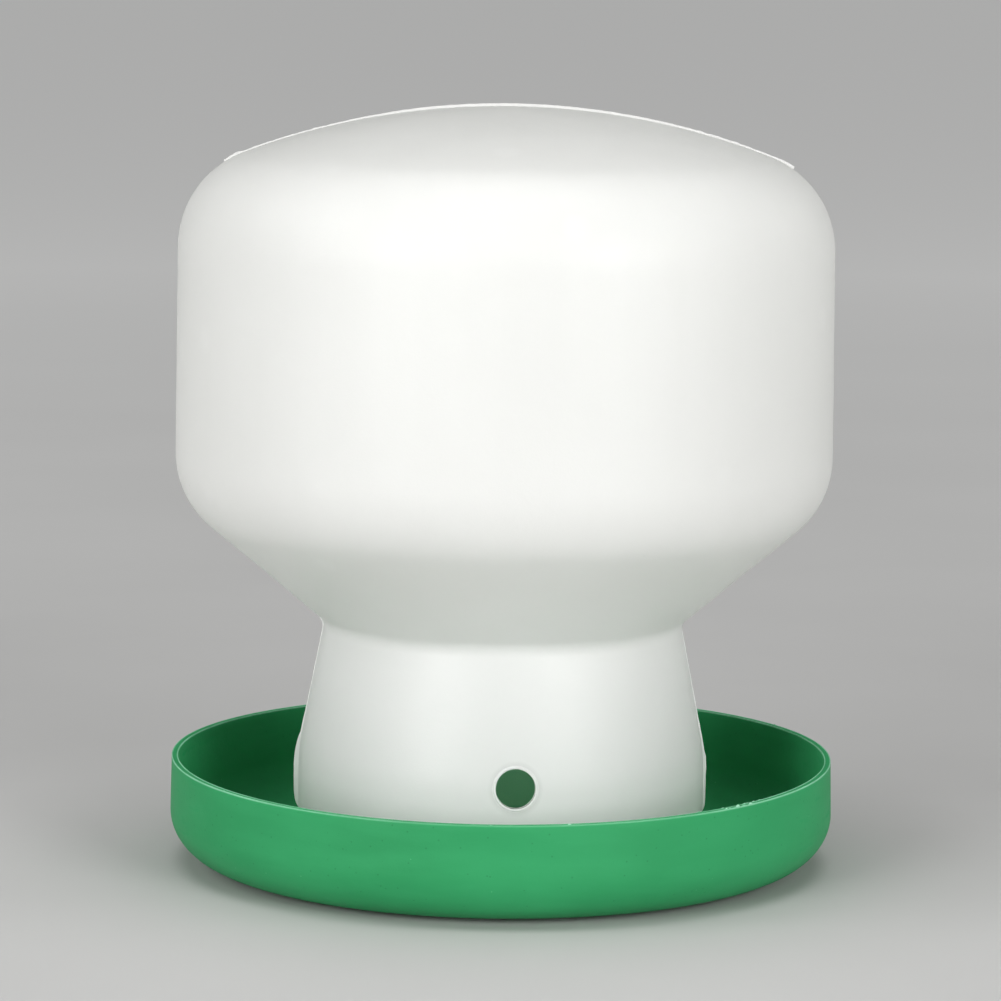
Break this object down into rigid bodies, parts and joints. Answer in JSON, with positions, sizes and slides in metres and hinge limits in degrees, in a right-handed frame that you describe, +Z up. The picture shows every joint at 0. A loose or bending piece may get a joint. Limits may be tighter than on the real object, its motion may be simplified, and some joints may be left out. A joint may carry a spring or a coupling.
{
  "type": "poultry waterer fount",
  "caption": "Round vacuum drinker for poultry: a white bell-shaped water fount with a drinking hole near its foot, standing in a wide green tray and lifting straight off it.",
  "frame": {"origin": "on the axis that the tray and the fount share, level with the undersides of the four pads that the tray stands on", "axes": "+Z up along the shared axis, -Y towards the front with the drinking hole, +X to the right, along the fount's mould line"},
  "size_m": [0.261, 0.261, 0.2981],
  "materials": {
    "white_polyethylene": "translucent white, satin, blow moulded",
    "green_polyethylene": "mid green, satin, injection moulded"
  },
  "bodies": {
    "tray": {"tray": "green_polyethylene"},
    "fount": {"fount": "white_polyethylene"}
  },
  "joints": [
    {"name": "fount_lift", "type": "slide", "parent": "tray", "child": "fount", "axis": [0, 0, 1], "range_m": [0, 0.15]}
  ]
}
